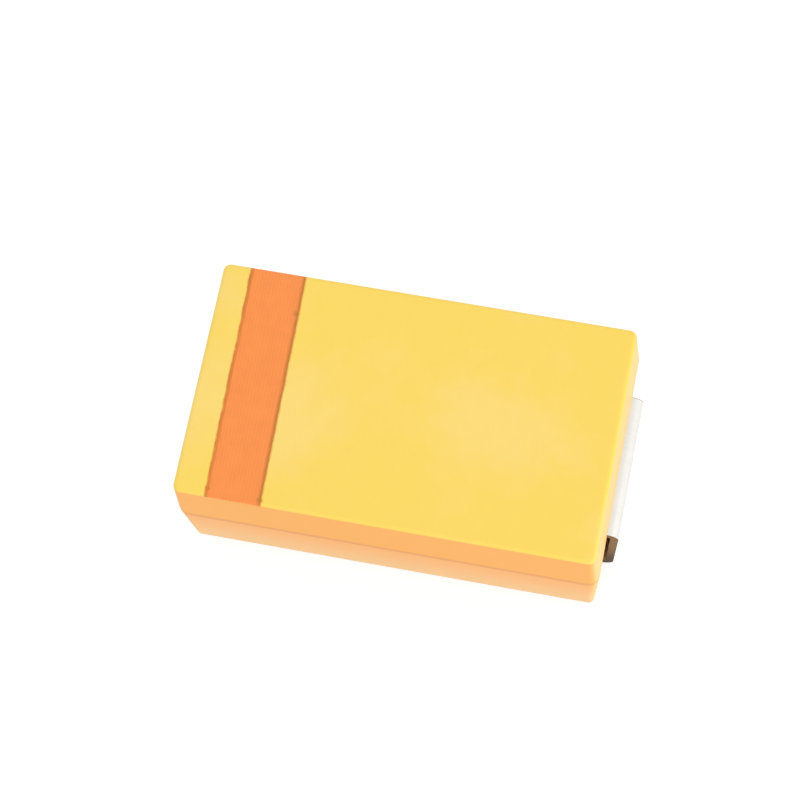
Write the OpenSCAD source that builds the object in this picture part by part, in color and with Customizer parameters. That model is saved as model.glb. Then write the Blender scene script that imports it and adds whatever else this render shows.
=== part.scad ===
// Moulded tantalum chip capacitor, size 7343.
// Millimetres. X runs along the part with the positive end at -X, Z points up, and the
// origin is the middle of the footprint, on the surface that the part is soldered to.

/* [Case] */
// Length over the two bent terminals
overall_length = 7.4; // [7.1:0.05:7.6]
// Width of the case at its parting line
case_width = 4.1; // [3.9:0.05:4.6]
// Height of the top face above the board
overall_height = 2.8; // [2.7:0.05:3.1]
// Height of the parting line, where the lead frames leave the case
parting_height = 1.68; // [1.6:0.02:1.8]
// Height of the flat witness band along the parting line
parting_band = 0.04; // [0.02:0.01:0.06]
// Draft of the four walls above and below the parting line, in degrees
draft_angle = 3; // [1:0.5:6]
// Radius of the upright corners, where the walls run out at their narrowest
corner_radius = 0.1; // [0.09:0.01:0.2]
// Radius of the edges round the top face and the underside
edge_radius = 0.07; // [0.03:0.01:0.08]
// Clear height between the board and the underside
standoff = 0.08; // [0.04:0.01:0.1]
// Plastic between the cathode frame and the foot pocket below it
floor_thickness = 0.2; // [0.15:0.01:0.25]
// Plastic between each end wall and the inner fold of its lead frame
end_wall = 0.5; // [0.4:0.02:0.6]

/* [Polarity bar] */
// Distance from the edge of the top face to the bar
bar_margin = 0.44; // [0.2:0.02:0.8]
// Width of the bar along the case
bar_width = 0.92; // [0.5:0.02:1.4]
// Depth that the laser has cut
bar_depth = 0.02; // [0.01:0.005:0.03]

/* [Lead frames] */
// Width of each terminal
lead_width = 2.4; // [2.2:0.05:2.6]
// Thickness of the strip
lead_thickness = 0.13; // [0.1:0.01:0.15]
// Inside radius of the folds
fold_radius = 0.06; // [0.05:0.01:0.1]
// Length of the foot under each end
foot_length = 1.3; // [1:0.05:1.6]
// Gap between a foot and the sides of its pocket
pocket_clearance = 0.05; // [0.03:0.01:0.1]
// Gap between a foot and the roof of its pocket
foot_gap = 0.02; // [0.01:0.01:0.04]
// Depth of the resin locks cut in both edges of each strip
lock_depth = 0.4; // [0.2:0.05:0.6]
// Length of the resin locks along the strip
lock_length = 0.24; // [0.16:0.02:0.28]
// Length of the cathode cradle under the anode slug
cradle_length = 2.6; // [1.6:0.1:3.4]
// Reach of the anode tab below the wire
tab_reach = 0.25; // [0.15:0.05:0.4]

/* [Anode] */
// Length of the sintered slug
slug_length = 4.5; // [3.8:0.1:4.6]
// Width of the sintered slug
slug_width = 2.92; // [2.6:0.02:3.1]
// Height of the sintered slug
slug_height = 1.42; // [1.3:0.02:1.5]
// Radius of the long edges of the slug
slug_edge = 0.12; // [0.05:0.01:0.2]
// Diameter of the riser wire
wire_diameter = 0.3; // [0.24:0.02:0.3]
// Length of wire pressed into the slug
wire_embedded = 3; // [1.5:0.1:3.5]
// Length of wire that stands past the anode tab
wire_end = 0.06; // [0.02:0.01:0.12]
// Outer diameter of the washer on the wire
washer_diameter = 0.9; // [0.6:0.05:1.2]
// Thickness of the washer
washer_thickness = 0.15; // [0.1:0.01:0.25]

/* [Cathode layers] */
// Thickness of the manganese dioxide coat
oxide_coat = 0.05; // [0.04:0.01:0.06]
// Thickness of the graphite coat
graphite_coat = 0.04; // [0.03:0.01:0.05]
// Thickness of the silver coat
silver_coat = 0.05; // [0.04:0.01:0.06]
// Bare length that the graphite leaves at the wire end of the slug
graphite_margin = 0.3; // [0.2:0.05:0.5]
// Length from the edge of the graphite to the edge of the silver
silver_margin = 0.25; // [0.1:0.05:0.4]
// Thickness of the silver adhesive
glue_thickness = 0.05; // [0.03:0.01:0.07]
// Width of the silver adhesive
glue_width = 2; // [1.2:0.1:2.2]
// Bare length at the open end of the cradle
glue_margin = 0.2; // [0.1:0.05:0.4]

/* [Hidden] */

$fn = 48;
arc_steps = 6;
corner_step = 15; // turn from one facet of a round corner to the next
past = 1; // how far a cutting tool runs out past the face that it opens

// Case, from the outside in
lead_reach = lead_thickness + fold_radius;
case_length = overall_length - 2 * lead_reach;
pocket_roof = lead_thickness + foot_gap;
top_half = overall_height - parting_height - parting_band / 2;
top_inset = top_half * tan(draft_angle);
bottom_half = parting_height - parting_band / 2 - standoff;
bottom_inset = bottom_half * tan(draft_angle);
post_radius = corner_radius + max(top_inset, bottom_inset);

// Lead frames: centre line of the strip
mid_radius = fold_radius + lead_thickness / 2;
strip_middle = parting_height;
upper_fold_x = overall_length / 2 - lead_thickness / 2
             + mid_radius * (tan(45 + draft_angle / 2) - 1);
lower_fold_x = upper_fold_x - (strip_middle - lead_thickness / 2) * tan(draft_angle);
inner_fold_x = case_length / 2 - end_wall - lead_thickness / 2;
cradle_middle = pocket_roof + floor_thickness + lead_thickness / 2;

// Slug, from the cradle up and from the cathode end inwards
coat = oxide_coat + graphite_coat + silver_coat;
slug_middle = cradle_middle + lead_thickness / 2 + glue_thickness + coat + slug_height / 2;
slug_end = inner_fold_x - lead_thickness / 2 - glue_thickness - coat;
slug_start = slug_end - slug_length;
wire_start = -inner_fold_x - lead_thickness / 2 - wire_end;

// Points along an arc, from one angle to another
function arc(centre, radius, from, to) =
    [for (i = [0 : arc_steps])
        let (a = from + (to - from) * i / arc_steps)
        centre + radius * [cos(a), sin(a)]];

// Outline of a rectangle with round corners, centred on the origin
function rounded_outline(width, height, radius) =
    [for (q = [0 : 3])
        let (side = [q == 0 || q == 3 ? 1 : -1, q < 2 ? 1 : -1],
             middle = [side.x * (width / 2 - radius), side.y * (height / 2 - radius)])
        each arc(middle, radius, 90 * q, 90 * q + 90)];

// Section of the mould wall, as [inset from the parting line, height], from the bottom up
function wall_section() = concat(
    arc([bottom_inset + edge_radius, standoff + edge_radius], edge_radius,
        270, 180 + draft_angle),
    [[0, parting_height - parting_band / 2], [0, parting_height + parting_band / 2]],
    arc([top_inset + edge_radius, overall_height - edge_radius], edge_radius,
        180 - draft_angle, 90));

// The same section on both sides of a solid whose half width at the parting line is half
function block_outline(half) =
    let (wall = wall_section(), last = len(wall) - 1)
    concat([for (p = wall) [half - p.x, p.y]],
           [for (i = [last : -1 : 0]) [wall[i].x - half, wall[i].y]]);

// Body of the case before anything is cut from it: what is common to one prism for each
// direction round the block, which gives the four walls and their round corners
module moulded_block() {
    post_x = case_length / 2 - post_radius;
    post_y = case_width / 2 - post_radius;
    intersection_for (a = [0 : corner_step : 179])
        rotate([90, 0, a])
            linear_extrude(2 * case_length, center = true)
                polygon(block_outline(post_x * abs(cos(a)) + post_y * abs(sin(a))
                                      + post_radius));
}

module polarity_bar() {
    bar_start = top_inset + bar_margin - case_length / 2;
    translate([bar_start, -case_width / 2 - past, overall_height - bar_depth])
        cube([bar_width, case_width + 2 * past, past]);
}

module foot_pocket() {
    pocket_width = lead_width + 2 * pocket_clearance;
    translate([overall_length / 2 - foot_length - pocket_clearance, -pocket_width / 2,
               pocket_roof - past])
        cube([foot_length + past, pocket_width, past]);
}

// One side of a strip folded along a path, offset to the left of its centre line
function strip_side(path, offset) =
    let (last = len(path) - 1,
         way = [for (i = [0 : last - 1]) (path[i + 1] - path[i]) / norm(path[i + 1] - path[i])],
         left = [for (d = way) [-d.y, d.x]])
    concat([path[0] + offset * left[0]],
           [for (i = [1 : last - 1])
               let (turn = way[i - 1] * left[i] > 0 ? -1 : 1,
                    swing = acos(way[i - 1] * way[i]),
                    middle = path[i] - mid_radius * tan(swing / 2) * way[i - 1]
                           + turn * mid_radius * left[i - 1],
                    from = atan2(-turn * left[i - 1].y, -turn * left[i - 1].x))
               each arc(middle, mid_radius - turn * offset, from, from + turn * swing)],
           [path[last] + offset * left[last - 1]]);

// A strip of the lead frame, folded along a path in the XZ plane
module folded_strip(path) {
    one_side = strip_side(path, lead_thickness / 2);
    other_side = strip_side(path, -lead_thickness / 2);
    last = len(other_side) - 1;
    rotate([90, 0, 0])
        linear_extrude(lead_width, center = true)
            polygon(concat(one_side, [for (i = [last : -1 : 0]) other_side[i]]));
}

// Lead frame at the +X end: foot, end leg, way in at the parting line, then inner_path
module lead_frame(inner_path) {
    lock_x = (case_length / 2 + inner_fold_x + lead_thickness / 2) / 2;
    difference() {
        folded_strip(concat([[overall_length / 2 - foot_length, lead_thickness / 2],
                             [lower_fold_x, lead_thickness / 2],
                             [upper_fold_x, strip_middle],
                             [inner_fold_x, strip_middle]], inner_path));
        for (side = [-1, 1])
            translate([lock_x - lock_length / 2,
                       side * (lead_width / 2 - lock_depth / 2 + past / 2)
                           - (lock_depth + past) / 2,
                       strip_middle - lead_thickness])
                cube([lock_length, lock_depth + past, 2 * lead_thickness]);
    }
}

module anode_terminal() {
    tab_bottom = slug_middle - wire_diameter / 2 - tab_reach;
    color("#d6d6d2")
        difference() {
            mirror([1, 0, 0])
                lead_frame([[inner_fold_x, tab_bottom]]);
            wire_form(wire_start, slug_start);
            translate([wire_start, -wire_diameter / 2, tab_bottom - tab_reach])
                cube([slug_start - wire_start, wire_diameter,
                      slug_middle - tab_bottom + tab_reach]);
        }
}

module cathode_terminal() {
    color("#d6d6d2")
        lead_frame([[inner_fold_x, cradle_middle],
                    [inner_fold_x - cradle_length, cradle_middle]]);
}

// Slug grown by a coat on its sides and cathode end, from a given place along X
module slug_form(grow, start) {
    translate([start, 0, slug_middle])
        rotate([90, 0, 90])
            linear_extrude(slug_end + grow - start)
                polygon(rounded_outline(slug_width + 2 * grow, slug_height + 2 * grow,
                                        slug_edge + grow));
}

module coated_slug() {
    slug_form(oxide_coat, slug_start - oxide_coat);
    slug_form(oxide_coat + graphite_coat, slug_start + graphite_margin);
    slug_form(coat, slug_start + graphite_margin + silver_margin);
}

module wire_form(from, to) {
    translate([from, 0, slug_middle])
        rotate([0, 90, 0])
            cylinder(d = wire_diameter, h = to - from);
}

module tantalum_slug() {
    color("#55575c")
        difference() {
            slug_form(0, slug_start);
            wire_form(slug_start - past, slug_start + wire_embedded);
        }
}

module riser_wire() {
    color("#8f9298")
        wire_form(wire_start, slug_start + wire_embedded);
}

module insulating_washer() {
    washer_start = slug_start - oxide_coat - washer_thickness;
    color("#f2f2ee")
        difference() {
            translate([washer_start, 0, slug_middle])
                rotate([0, 90, 0])
                    cylinder(d = washer_diameter, h = washer_thickness);
            wire_form(wire_start, slug_start);
        }
}

module manganese_dioxide_coat() {
    color("#2c2a2c")
        difference() {
            slug_form(oxide_coat, slug_start - oxide_coat);
            slug_form(0, slug_start);
            wire_form(wire_start, slug_start + past);
        }
}

module graphite_coat() {
    color("#3d3e42")
        difference() {
            slug_form(oxide_coat + graphite_coat, slug_start + graphite_margin);
            slug_form(oxide_coat, slug_start - oxide_coat);
        }
}

module silver_coat() {
    color("#c4c6c8")
        difference() {
            slug_form(coat, slug_start + graphite_margin + silver_margin);
            slug_form(oxide_coat + graphite_coat, slug_start + graphite_margin);
        }
}

// Layer that fills the space between the silver coat and the cradle and its upright
module silver_adhesive() {
    glue_start = inner_fold_x - cradle_length + glue_margin;
    glue_bottom = cradle_middle + lead_thickness / 2;
    color("#a9aaa7")
        difference() {
            translate([glue_start, -glue_width / 2, glue_bottom])
                cube([inner_fold_x - glue_start, glue_width, slug_middle - glue_bottom]);
            coated_slug();
            cathode_terminal();
        }
}

// The resin is moulded round everything that it holds
module case() {
    color("#fdda6e")
        difference() {
            moulded_block();
            polarity_bar();
            foot_pocket();
            mirror([1, 0, 0])
                foot_pocket();
            anode_terminal();
            cathode_terminal();
            coated_slug();
            riser_wire();
            insulating_washer();
            silver_adhesive();
        }
}

case();
anode_terminal();
cathode_terminal();
tantalum_slug();
riser_wire();
insulating_washer();
manganese_dioxide_coat();
graphite_coat();
silver_coat();
silver_adhesive();
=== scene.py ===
"""Finishes, lights and camera for a moulded tantalum chip capacitor.

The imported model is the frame: it holds every piece at its real size, in metres, with the
positive end at -X and the feet on z = 0. This file gives each piece its surface and sets up
the studio round it.
"""

import math

import bmesh
import bpy
from bpy.props import FloatProperty, FloatVectorProperty, PointerProperty
from mathutils import Matrix, Vector


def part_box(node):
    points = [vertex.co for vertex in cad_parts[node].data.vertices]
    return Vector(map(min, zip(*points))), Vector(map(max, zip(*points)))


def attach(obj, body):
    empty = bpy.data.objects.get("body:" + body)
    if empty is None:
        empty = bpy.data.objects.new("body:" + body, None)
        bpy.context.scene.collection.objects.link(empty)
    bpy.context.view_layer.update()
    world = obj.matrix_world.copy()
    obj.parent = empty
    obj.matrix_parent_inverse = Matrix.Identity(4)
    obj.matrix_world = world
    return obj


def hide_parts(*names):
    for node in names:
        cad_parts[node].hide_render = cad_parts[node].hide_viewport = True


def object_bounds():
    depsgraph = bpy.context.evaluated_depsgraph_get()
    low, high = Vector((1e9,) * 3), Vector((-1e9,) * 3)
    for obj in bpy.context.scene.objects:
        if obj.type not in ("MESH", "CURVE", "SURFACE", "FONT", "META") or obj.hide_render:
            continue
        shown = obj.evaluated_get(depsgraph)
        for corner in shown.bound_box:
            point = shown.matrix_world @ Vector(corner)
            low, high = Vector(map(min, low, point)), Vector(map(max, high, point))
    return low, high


bl_info = {
    "name": "Tantalum Chip Capacitor",
    "version": (1, 0, 0),
    "blender": (4, 5, 0),
    "location": "3D View > Sidebar > Capacitor",
    "description": "Finishes the pieces of a moulded tantalum chip capacitor",
    "category": "Object",
}

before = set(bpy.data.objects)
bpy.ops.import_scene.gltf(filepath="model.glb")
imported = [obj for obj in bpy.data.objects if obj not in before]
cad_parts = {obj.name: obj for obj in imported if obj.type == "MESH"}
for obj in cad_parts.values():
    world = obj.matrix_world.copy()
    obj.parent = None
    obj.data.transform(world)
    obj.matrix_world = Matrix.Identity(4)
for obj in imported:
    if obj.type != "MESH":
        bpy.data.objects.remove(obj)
CAD_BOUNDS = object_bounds()
BODY = "root"
MM = 0.001
WELD = 0.0005 * MM
DRAFT = math.radians(3)
SHARP = math.radians(35)

CASE_LOW, CASE_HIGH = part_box("case")
STRIP_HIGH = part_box("cathode_terminal")[1]
CENTRE = (CAD_BOUNDS[0] + CAD_BOUNDS[1]) / 2


def seam_level():
    """Height of the parting line: the case is widest there."""
    widest = CASE_HIGH.y - WELD
    levels = [v.co.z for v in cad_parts["case"].data.vertices if v.co.y > widest]
    return (min(levels) + max(levels)) / 2


SEAM = seam_level()
TOP_INSET = (CASE_HIGH.z - SEAM) * math.tan(DRAFT)
BAR_START = CASE_LOW.x + TOP_INSET


# ---------------------------------------------------------------- sizes and colours


def colour(name, description, default):
    return FloatVectorProperty(
        name=name,
        description=description,
        default=default,
        size=3,
        min=0,
        max=1,
        subtype="COLOR",
    )


def length(name, description, default, low=0):
    return FloatProperty(
        name=name,
        description=description,
        default=default,
        min=low,
        precision=6,
        unit="LENGTH",
        subtype="DISTANCE",
    )


def turn(name, description, degrees):
    return FloatProperty(
        name=name,
        description=description,
        default=math.radians(degrees),
        unit="ROTATION",
        subtype="ANGLE",
    )


def share(name, description, default):
    return FloatProperty(name=name, description=description, default=default, min=0)


class CaseSettings(bpy.types.PropertyGroup):
    resin: colour("Resin", "Top face of the moulded resin", (0.99, 0.70, 0.11))
    pale: colour("Pale resin", "Cloudy patches in the top face", (0.99, 0.715, 0.175))
    # Long walls above the seam: deeper orange than the top, as painted shade.
    shaded_wall: colour("Wall", "Resin of the long walls above the seam", (0.98, 0.43, 0.062))
    # Below the seam: paler towards the underside, as painted light bounced up from the table.
    bounce_lit_skirt: colour("Skirt", "Resin of the long walls below the seam", (0.97, 0.435, 0.095))
    rim: colour("Rim", "Resin of the walls at the underside", (0.95, 0.57, 0.22))
    # End walls: paler than the long walls, as painted light from the side.
    end: colour("End walls", "Resin of the two end walls", (0.97, 0.62, 0.19))
    # Seam: the mould line, drawn darker partly as painted shade under its flash.
    seam: colour("Seam", "Line where the mould halves met", (0.84, 0.315, 0.06))
    bar: colour("Bar", "Laser-marked polarity bar", (0.99, 0.29, 0.06))
    burn: colour("Burn", "Scorched rim of the bar", (0.66, 0.23, 0.03))
    bar_margin: length("Bar margin", "From the top face's edge to the bar", 0.44 * MM)
    bar_width: length("Bar width", "Width of the bar along the case", 0.92 * MM)
    bar_shift: length("Bar shift", "The mark's shift towards the negative end", 0.063 * MM)
    bar_skew: turn("Bar skew", "The mark's turn against the case", 1.1)
    bar_wander: length("Bar wander", "How far the bar's edges stray", 0.05 * MM)
    burn_width: length("Burn width", "Width of the scorched rim", 0.05 * MM)
    hatch: length("Hatch", "Distance between two passes of the laser", 0.055 * MM)
    top_edge: length("Top edge", "How far the top's tone runs down its edge", 0.075 * MM)
    seam_width: length("Seam width", "Width of the seam's darker line", 0.12 * MM)
    cloud: length("Cloud", "Size of the pale patches", 2.2 * MM)
    blotch: length("Blotch", "Size of the small uneven patches", 0.28 * MM)
    grain: length("Grain", "Size of the fine texture of the mould", 0.03 * MM)
    relief: length("Relief", "Depth of the fine texture", 0.004 * MM)
    roughness: share("Roughness", "Roughness of the moulded resin", 0.42)


class TerminalSettings(bpy.types.PropertyGroup):
    tin: colour("Tin", "Matt tin plating", (0.84, 0.82, 0.78))
    bare: colour("Bare metal", "Cut edges of the strip", (0.27, 0.17, 0.085))
    # Bare metal: darker towards the foot.
    darker_bare: colour("Stain", "Bare metal towards the foot", (0.10, 0.058, 0.03))
    edge: length("Edge", "Depth of the bare rim at each cut", 0.01 * MM)
    foot_height: length("Foot height", "Thickness of the strip in the foot", 0.13 * MM)
    # Heights over which the bare metal's darkening fades.
    darker_from: length("Stain from", "Height up to which the bare metal is darkest", 0.2 * MM)
    darker_to: length("Stain to", "Height where the stain ends", 1.2 * MM)
    rolling: length("Rolling", "Width of the rolling lines", 0.05 * MM)
    cloud: length("Cloud", "Size of the plating's cloudy patches", 0.5 * MM)
    grain: length("Grain", "Size of the plating's grain", 0.018 * MM)
    relief: length("Relief", "Depth of the lines and the grain", 0.003 * MM)
    roughness: share("Roughness", "Roughness of the plating", 0.34)


class CoreSettings(bpy.types.PropertyGroup):
    slug: colour("Slug", "Sintered tantalum", (0.09, 0.093, 0.105))
    wire: colour("Wire", "Drawn tantalum wire", (0.30, 0.31, 0.34))
    washer: colour("Washer", "White washer", (0.87, 0.87, 0.84))
    oxide: colour("Oxide", "Manganese dioxide", (0.022, 0.02, 0.021))
    graphite: colour("Graphite", "Carbon layer", (0.045, 0.046, 0.052))
    silver: colour("Silver", "Silver paint", (0.56, 0.57, 0.575))
    adhesive: colour("Adhesive", "Silver adhesive", (0.40, 0.40, 0.385))


class StudioSettings(bpy.types.PropertyGroup):
    azimuth: turn("Azimuth", "Turn of the camera round the part", 22.69)
    elevation: turn("Elevation", "Height of the camera above the horizon", 71.48)
    roll: turn("Roll", "Turn of the camera about its own axis", -11.94)
    distance: length("Distance", "From the camera to its target", 44.46 * MM)
    target_x: length("Target X", "Target, along the part", -0.303 * MM, low=-1)
    target_y: length("Target Y", "Target, across the part", 0.585 * MM, low=-1)
    lens: FloatProperty(name="Lens", description="Focal length", default=119.66, unit="CAMERA")
    floor_size: length("Floor", "Side of the floor", 600 * MM)
    table: share("Table", "How white the table is to the light that falls on it", 0.88)
    table_seen: share("Table seen", "How white it is where it is seen, without its glow", 0.4)
    table_glow: share("Table glow", "Glow that is added where it is seen", 0.72)
    key_size: length("Key size", "Side of the soft lamp", 90 * MM)
    key_power: share("Key", "Power of the soft lamp at the side, in watts", 0.06)
    sky: share("Sky", "Strength of the light from all round", 0.9)


# ---------------------------------------------------------------- shader tools


class Value:
    """A socket that carries a number; arithmetic on it adds Math nodes."""

    def __init__(self, shading, socket):
        self.shading = shading
        self.socket = socket

    def math(self, operation, *others):
        return self.shading.node("ShaderNodeMath", {"operation": operation}, [self, *others])

    def __add__(self, other):
        return self.math("ADD", other)

    def __sub__(self, other):
        return self.math("SUBTRACT", other)

    def __mul__(self, other):
        return self.math("MULTIPLY", other)

    __radd__ = __add__
    __rmul__ = __mul__

    def __rsub__(self, other):
        return self.shading.node("ShaderNodeMath", {"operation": "SUBTRACT"}, [other, self])

    def __abs__(self):
        return self.math("ABSOLUTE")


class Shading:
    """A node tree, built up by node()."""

    def __init__(self, tree):
        self.tree = tree

    def node(self, kind, settings, inputs, output=0):
        made = self.tree.nodes.new(kind)
        for key, setting in settings.items():
            setattr(made, key, setting)
        pairs = inputs.items() if isinstance(inputs, dict) else enumerate(inputs)
        for key, given in pairs:
            self.feed(made.inputs[key], given)
        return Value(self, made.outputs[output])

    def feed(self, socket, given):
        if isinstance(given, Value):
            self.tree.links.new(given.socket, socket)
        elif socket.type == "RGBA" and len(given) == 3:
            socket.default_value = (*given, 1)
        else:
            socket.default_value = given

    def seen_rays(self):
        """1 for rays that show the background: from the camera, a gloss or through glass."""
        outputs = self.node("ShaderNodeLightPath", {}, []).socket.node.outputs
        kinds = ("Is Camera Ray", "Is Glossy Ray", "Is Transmission Ray")
        camera, glossy, passed = [Value(self, outputs[kind]) for kind in kinds]
        return camera.math("MAXIMUM", glossy).math("MAXIMUM", passed)

    def spread(self, number, low, high):
        """low to high as number goes 0 to 1."""
        return self.node("ShaderNodeMapRange", {}, {"Value": number, "To Min": low, "To Max": high})

    def grey(self, number):
        return self.node("ShaderNodeCombineColor", {}, [number, number, number])


class Finish(Shading):
    """A material with one Principled shader."""

    def __init__(self, name, **constants):
        self.material = bpy.data.materials.new(name)
        self.material.use_nodes = True
        super().__init__(self.material.node_tree)
        self.shader = self.tree.nodes["Principled BSDF"]
        self.paint(**constants)

    def place(self, stretch=(1, 1, 1)):
        """Object coordinates in millimetres, each axis times its stretch."""
        where = self.node("ShaderNodeTexCoord", {}, [], "Object")
        scale = [s / MM for s in stretch]
        return self.node("ShaderNodeVectorMath", {"operation": "MULTIPLY"}, [where, scale])

    def axes(self):
        split = self.node("ShaderNodeSeparateXYZ", {}, [self.place()])
        outputs = split.socket.node.outputs
        return [Value(self, outputs[i]) for i in range(3)]

    def noise(self, size, detail=3, stretch=(1, 1, 1)):
        """Soft noise from 0 to 1 with features of about size, in metres."""
        inputs = {
            "Vector": self.place(stretch),
            "Scale": MM / size,
            "Detail": detail,
            "Roughness": 0.55,
        }
        return self.node("ShaderNodeTexNoise", {"noise_dimensions": "3D"}, inputs)

    def step(self, value, low, high):
        """Smooth rise from 0 at low to 1 at high."""
        inputs = {"Value": value, "From Min": low, "From Max": high}
        settings = {"interpolation_type": "SMOOTHSTEP"}
        return self.node("ShaderNodeMapRange", settings, inputs)

    def band(self, value, low, high, soft):
        """1 between low and high, with edges that fade over soft."""
        rise = self.step(value, low - soft, low + soft)
        return rise * (1 - self.step(value, high - soft, high + soft))

    def mix(self, factor, first, second, blend="MIX"):
        settings = {"data_type": "RGBA", "blend_type": blend}
        inputs = {0: factor, 6: first, 7: second}
        return self.node("ShaderNodeMix", settings, inputs, 2)

    def tint(self, base, number, low, high):
        """base made darker or lighter, from low times to high times, as number goes 0 to 1."""
        return self.mix(1.0, base, self.grey(self.spread(number, low, high)), "MULTIPLY")

    def bump(self, height, depth):
        inputs = {"Strength": 1.0, "Distance": depth, "Height": height}
        self.paint(Normal=self.node("ShaderNodeBump", {}, inputs))

    def paint(self, **channels):
        for socket, given in channels.items():
            self.feed(self.shader.inputs[socket.replace("_", " ")], given)


def dress(node, finish):
    """Gives each material slot of a CAD node the finish's material."""
    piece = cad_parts[node]
    for material_slot in piece.material_slots:
        material_slot.material = finish.material


def smooth_copy(node, name, finish, moved=None):
    """Puts a piece in a node's place, with its facets shaded as curves.

    moved, where it is given, turns each point into the place where it goes.
    """
    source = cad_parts[node].data
    bm = bmesh.new()
    points = [bm.verts.new(moved(v.co) if moved else v.co) for v in source.vertices]
    for face in source.polygons:
        bm.faces.new([points[i] for i in face.vertices])
    bmesh.ops.remove_doubles(bm, verts=bm.verts, dist=WELD)
    for face in bm.faces:
        face.smooth = True
    for edge in bm.edges:
        edge.smooth = len(edge.link_faces) == 2 and edge.calc_face_angle() < SHARP
    mesh = bpy.data.meshes.new(name)
    bm.to_mesh(mesh)
    bm.free()
    mesh.materials.append(finish.material)
    piece = bpy.data.objects.new(name, mesh)
    bpy.context.scene.collection.objects.link(piece)
    weighted = piece.modifiers.new("Weighted normals", "WEIGHTED_NORMAL")
    weighted.keep_sharp = True
    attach(piece, BODY)
    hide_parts(node)


# ---------------------------------------------------------------- case


# Scorched spots: share of the bar's width, share of the top's half width, radius
SPOTS = (
    (0.957, 0.66, 0.08 * MM),
    (0.978, -0.955, 0.075 * MM),
    (0.033, -0.93, 0.06 * MM),
)


def spot_shade(finish, x, y, radius):
    """Round spot about the point where x and y are 0: 1 at its middle."""
    away = (x * x + y * y).math("SQRT")
    return 1 - finish.step(away, radius * 0.3, radius)


def bar_regions(finish, s, along, y, blotch, fine):
    """The bar with its ragged edges, and its scorched rim and spots."""
    start = (BAR_START + s.bar_margin) / MM
    width = s.bar_width / MM
    end = start + width
    half_width = (CASE_HIGH.y - TOP_INSET) / MM
    rim_width = s.burn_width / MM
    edge_soft, rim_soft, overlap = 0.012, 0.02, 0.01

    ragged = along + (blotch - 0.5) * (s.bar_wander / MM) + (fine - 0.5) * edge_soft
    in_bar = finish.band(ragged, start, end, edge_soft)
    first_rim = finish.band(ragged, start - overlap, start + rim_width, rim_soft)
    second_rim = finish.band(ragged, end - rim_width, end + overlap * 1.5, rim_soft)
    burn = first_rim.math("MAXIMUM", second_rim) * (0.35 + blotch * 0.8)
    for across, sideways, radius in SPOTS:
        x_away = ragged - (start + across * width)
        y_away = y - sideways * half_width
        burn = burn.math("MAXIMUM", spot_shade(finish, x_away, y_away, radius / MM))
    return in_bar, burn


def wall_colour(finish, s, x, y, z):
    """The walls: the long ones in two tones, deeper than the top as painted shade and paler below
    the seam as painted light from the table, the end ones paler as painted light from the side, the
    seam round them all, darker partly as painted shade.
    """
    seam = SEAM / MM
    bottom = CASE_LOW.z / MM
    corner = (CASE_HIGH.x - CASE_HIGH.y) / MM
    half_seam, seam_soft, seam_drop = s.seam_width / MM / 2, 0.05, 0.01
    corner_soft, join_soft = 0.08, 0.02

    # The end walls are paler: painted light from the side.
    at_end = finish.step(abs(x) - abs(y), corner - corner_soft, corner + corner_soft)
    at_end = at_end * finish.step(z, bottom + 0.03, bottom + 0.1)
    # Below the seam the walls grow paler towards the underside: painted light bounced up from the
    # table.
    bounce_lit_skirt = finish.mix(finish.step(z, bottom, seam), s.rim, s.bounce_lit_skirt)
    # The long walls above the seam are deeper than the top: painted shade.
    above = finish.step(z, seam - join_soft, seam + join_soft)
    walls = finish.mix(above, bounce_lit_skirt, s.shaded_wall)
    walls = finish.mix(at_end, walls, s.end)
    # The seam's darker line: the mould line, darker partly as painted shade under its flash.
    middle = seam - seam_drop
    line = finish.band(z, middle - half_seam, middle + half_seam, seam_soft)
    return finish.mix(line * (1 - at_end * 0.5), walls, s.seam)


def resin_finish(s):
    """Moulded resin with its laser-marked bar, its seam, a fine mould texture, and painted light
    and shade on its walls.
    """
    finish = Finish("moulded resin", Specular_IOR_Level=0.5)
    x, y, z = finish.axes()
    cloud = finish.noise(s.cloud, detail=4)
    blotch = finish.noise(s.blotch, detail=3)
    fine = finish.noise(s.grain, detail=2)

    # The mark, in coordinates that are turned and shifted with it
    along = x - s.bar_shift / MM + y * math.tan(s.bar_skew)
    top_edge = (CASE_HIGH.z - s.top_edge) / MM
    on_top = finish.step(z, top_edge, top_edge + s.top_edge / MM * 0.6)
    in_bar, burn = bar_regions(finish, s, along, y, blotch, fine)
    in_bar = in_bar * on_top
    burn = burn * on_top

    # Colour: the pale patches keep to the middle of the top
    patches = finish.step(cloud - y * y * 0.03, 0.33, 0.6)
    body = finish.mix(on_top, wall_colour(finish, s, x, y, z), finish.mix(patches, s.resin, s.pale))
    body = finish.tint(body, blotch, 0.985, 1.012)
    body = finish.tint(body, fine, 0.985, 1.01)
    hatch_wave = (along * (2 * math.pi * MM / s.hatch)).math("SINE") * 0.5 + 0.5
    bar = finish.tint(s.bar, hatch_wave, 0.975, 1.015)
    bar = finish.tint(bar, blotch, 0.9, 1.08)
    body = finish.mix(in_bar, body, bar)
    finish.paint(Base_Color=finish.mix(burn, body, s.burn))

    # Gloss and relief: the bar is rougher than the rest
    finish.paint(Roughness=s.roughness + fine * 0.12 + in_bar * 0.16)
    finish.bump(fine * 0.6 + blotch * 0.4 + in_bar * hatch_wave * 0.4, s.relief)
    return finish


def turned_mark(s):
    """Moves a point of the bar's sunk floor or edges to where the laser set the bar."""
    reach = 0.1 * MM
    low = BAR_START + s.bar_margin - reach
    high = BAR_START + s.bar_margin + s.bar_width + reach
    top = CASE_HIGH.z - 0.05 * MM

    def moved(point):
        if point.z < top or not low < point.x < high:
            return point
        shift = s.bar_shift - point.y * math.tan(s.bar_skew)
        return point + Vector((shift, 0, 0))

    return moved


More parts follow.
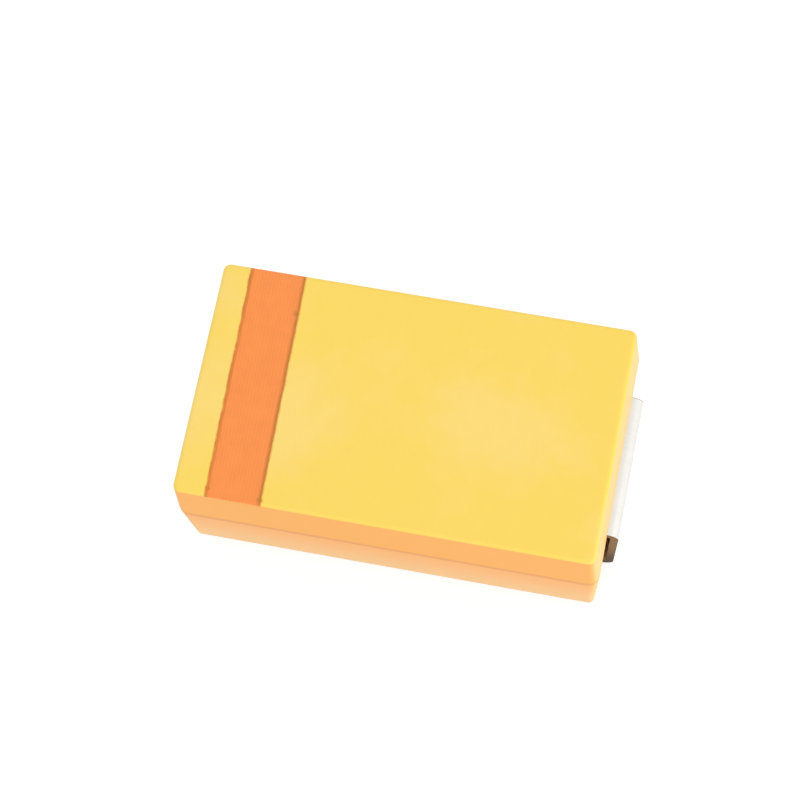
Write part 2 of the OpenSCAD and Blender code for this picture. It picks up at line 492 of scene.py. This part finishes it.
class CAPACITOR_OT_case(bpy.types.Operator):
    """Finish the moulded case"""

    bl_idname = "capacitor.case"
    bl_label = "Case"

    def execute(self, context):
        s = context.scene.capacitor_case
        smooth_copy("case", "marked_case", resin_finish(s), turned_mark(s))
        return {"FINISHED"}


# ---------------------------------------------------------------- terminals


def foot_reach():
    """Distance from the part's middle to the inner end of each foot."""
    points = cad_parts["cathode_terminal"].data.vertices
    return min(v.co.x for v in points if v.co.z < 0.01 * MM)


def tin_finish(s):
    """Matt tin on rolled strip, with bare metal where the strip was cut."""
    finish = Finish("tinned strip", Metallic=1.0)
    x, y, z = finish.axes()
    rolled = finish.noise(s.rolling, detail=3, stretch=(0.06, 1, 0.06))
    cloud = finish.noise(s.cloud, detail=4)
    grain = finish.noise(s.grain, detail=2)

    # Bare metal at the strip's sides and at the feet's inner ends
    rim = s.edge / MM
    side = STRIP_HIGH.y / MM
    foot_end = foot_reach() / MM
    foot_top = s.foot_height / MM
    cut_side = finish.step(abs(y), side - rim, side - rim / 2)
    at_foot_end = 1 - finish.step(abs(x), foot_end + rim / 2, foot_end + rim)
    cut_foot = at_foot_end * (1 - finish.step(z, foot_top, foot_top + rim))
    bare = cut_side.math("MAXIMUM", cut_foot)

    tin = finish.tint(s.tin, cloud, 0.9, 1.05)
    tin = finish.tint(tin, rolled, 0.95, 1.03)
    # The bare metal is darker towards the foot.
    higher_up = finish.step(z, s.darker_from / MM, s.darker_to / MM)
    metal = finish.tint(finish.mix(higher_up, s.darker_bare, s.bare), grain, 0.75, 1.25)
    finish.paint(Base_Color=finish.mix(bare, tin, metal))
    finish.paint(Roughness=s.roughness + cloud * 0.16 + bare * 0.2)
    finish.bump(rolled * 0.7 + grain * 0.5, s.relief)
    return finish


class CAPACITOR_OT_terminals(bpy.types.Operator):
    """Finish the two folded terminals"""

    bl_idname = "capacitor.terminals"
    bl_label = "Terminals"

    def execute(self, context):
        finish = tin_finish(context.scene.capacitor_terminals)
        smooth_copy("anode_terminal", "folded_anode_strip", finish)
        smooth_copy("cathode_terminal", "folded_cathode_strip", finish)
        return {"FINISHED"}


# ---------------------------------------------------------------- core


def core_finish(name, base, grain, low, high, depth, **constants):
    """A layer of the core: its colour, from low to high times, broken up by its own grain."""
    finish = Finish(name, **constants)
    coarse = finish.noise(grain * 6, detail=3)
    fine = finish.noise(grain, detail=3)
    finish.paint(Base_Color=finish.tint(finish.tint(base, coarse, low, high), fine, low, high))
    finish.bump(fine * 0.7 + coarse * 0.3, depth)
    return finish


class CAPACITOR_OT_anode(bpy.types.Operator):
    """Finish the anode: slug, wire and washer"""

    bl_idname = "capacitor.anode"
    bl_label = "Anode"

    def execute(self, context):
        s = context.scene.capacitor_core
        slug = core_finish(
            "sintered tantalum", s.slug, 0.03 * MM, 0.6, 1.4, 0.012 * MM,
            Metallic=0.8, Roughness=0.7,
        )
        wire = core_finish(
            "tantalum wire", s.wire, 0.02 * MM, 0.85, 1.1, 0.002 * MM,
            Metallic=1.0, Roughness=0.38,
        )
        washer = core_finish(
            "white fluoropolymer", s.washer, 0.04 * MM, 0.95, 1.03, 0.003 * MM,
            Roughness=0.5,
        )
        dress("tantalum_slug", slug)
        dress("riser_wire", wire)
        dress("insulating_washer", washer)
        return {"FINISHED"}


class CAPACITOR_OT_cathode(bpy.types.Operator):
    """Finish the cathode: oxide, graphite, silver and adhesive"""

    bl_idname = "capacitor.cathode"
    bl_label = "Cathode"

    def execute(self, context):
        s = context.scene.capacitor_core
        oxide = core_finish(
            "manganese dioxide", s.oxide, 0.03 * MM, 0.6, 1.5, 0.01 * MM, Roughness=0.85
        )
        graphite = core_finish(
            "graphite", s.graphite, 0.05 * MM, 0.8, 1.3, 0.005 * MM, Roughness=0.5
        )
        silver = core_finish(
            "silver paint", s.silver, 0.04 * MM, 0.85, 1.1, 0.004 * MM,
            Metallic=0.7, Roughness=0.5,
        )
        adhesive = core_finish(
            "silver adhesive", s.adhesive, 0.03 * MM, 0.8, 1.15, 0.006 * MM,
            Metallic=0.5, Roughness=0.55,
        )
        dress("manganese_dioxide_coat", oxide)
        dress("graphite_coat", graphite)
        dress("silver_coat", silver)
        dress("silver_adhesive", adhesive)
        return {"FINISHED"}


# ---------------------------------------------------------------- studio


KEY_PLACE = Vector((120, -45, 45)) * MM


def make_floor(s):
    """White table under the part; it keeps the part's shadow."""
    bm = bmesh.new()
    bmesh.ops.create_grid(bm, x_segments=2, y_segments=2, size=s.floor_size / 2)
    mesh = bpy.data.meshes.new("floor")
    bm.to_mesh(mesh)
    bm.free()
    floor = bpy.data.objects.new("floor", mesh)
    bpy.context.scene.collection.objects.link(floor)
    floor.data.materials.append(floor_finish(s).material)


def floor_finish(s):
    """White for every ray, with part of the white glowing where the floor itself is seen."""
    finish = Finish("white table", Roughness=1.0, Specular_IOR_Level=0.0, Emission_Strength=1.0)
    seen = finish.seen_rays()
    finish.paint(
        Base_Color=finish.grey(finish.spread(seen, s.table, s.table_seen)),
        Emission_Color=finish.grey(finish.spread(seen, 0.0, s.table_glow)),
    )
    return finish


def make_world(s):
    """Even light from all round, white where it is seen."""
    world = bpy.data.worlds.new("studio")
    bpy.context.scene.world = world
    world.use_nodes = True
    shading = Shading(world.node_tree)
    background = shading.tree.nodes["Background"]
    shading.feed(background.inputs["Color"], (1, 1, 1))
    shading.feed(background.inputs["Strength"], shading.spread(shading.seen_rays(), s.sky, 1.0))


def make_key(s):
    """Soft lamp to the right, a little in front of the part and above it."""
    lamp = bpy.data.lights.new("key", "AREA")
    lamp.shape = "SQUARE"
    lamp.size = s.key_size
    lamp.energy = s.key_power
    holder = bpy.data.objects.new("key", lamp)
    bpy.context.scene.collection.objects.link(holder)
    holder.location = KEY_PLACE
    holder.rotation_euler = (CENTRE - KEY_PLACE).to_track_quat("-Z", "Y").to_euler()


def make_camera(s):
    """Camera at a distance from its target, turned by its three angles."""
    a, e, r = s.azimuth, s.elevation, s.roll
    back = Vector((math.sin(a) * math.cos(e), -math.cos(a) * math.cos(e), math.sin(e)))
    level = Vector((0, 0, 1)).cross(back).normalized()
    upright = back.cross(level)
    right = level * math.cos(r) + upright * math.sin(r)
    up = upright * math.cos(r) - level * math.sin(r)
    target = Vector((s.target_x, s.target_y, CENTRE.z))
    data = bpy.data.cameras.new("camera")
    data.lens = s.lens
    data.clip_start = MM
    data.clip_end = 1
    camera = bpy.data.objects.new("camera", data)
    bpy.context.scene.collection.objects.link(camera)
    turned = Matrix((right, up, back)).transposed().to_4x4()
    camera.matrix_world = Matrix.Translation(target + back * s.distance) @ turned
    bpy.context.scene.camera = camera


class CAPACITOR_OT_studio(bpy.types.Operator):
    """Set up the floor, the lamps, the world and the camera"""

    bl_idname = "capacitor.studio"
    bl_label = "Studio"

    def execute(self, context):
        s = context.scene.capacitor_studio
        make_camera(s)
        make_floor(s)
        make_world(s)
        make_key(s)
        context.scene.view_settings.view_transform = "Standard"
        return {"FINISHED"}


# ---------------------------------------------------------------- panel and start


class CAPACITOR_PT_panel(bpy.types.Panel):
    """Lists the steps that finish the capacitor"""

    bl_label = "Tantalum Capacitor"
    bl_idname = "CAPACITOR_PT_panel"
    bl_space_type = "VIEW_3D"
    bl_region_type = "UI"
    bl_category = "Capacitor"

    def draw(self, context):
        for operator, settings in STEPS:
            self.layout.operator(operator.bl_idname)
            for key in SETTINGS[settings].__annotations__:
                self.layout.prop(getattr(context.scene, settings), key)


SETTINGS = {
    "capacitor_case": CaseSettings,
    "capacitor_terminals": TerminalSettings,
    "capacitor_core": CoreSettings,
    "capacitor_studio": StudioSettings,
}
STEPS = [
    (CAPACITOR_OT_studio, "capacitor_studio"),
    (CAPACITOR_OT_case, "capacitor_case"),
    (CAPACITOR_OT_terminals, "capacitor_terminals"),
    (CAPACITOR_OT_anode, "capacitor_core"),
    (CAPACITOR_OT_cathode, "capacitor_core"),
]
CLASSES = [*SETTINGS.values(), *[step[0] for step in STEPS], CAPACITOR_PT_panel]


def register():
    for made in CLASSES:
        bpy.utils.register_class(made)
    for name, group in SETTINGS.items():
        setattr(bpy.types.Scene, name, PointerProperty(type=group))


def unregister():
    for name in SETTINGS:
        delattr(bpy.types.Scene, name)
    for made in reversed(CLASSES):
        bpy.utils.unregister_class(made)


def main():
    register()
    bpy.ops.capacitor.studio()
    bpy.ops.capacitor.case()
    bpy.ops.capacitor.terminals()
    bpy.ops.capacitor.anode()
    bpy.ops.capacitor.cathode()


if __name__ == "__main__":
    main()
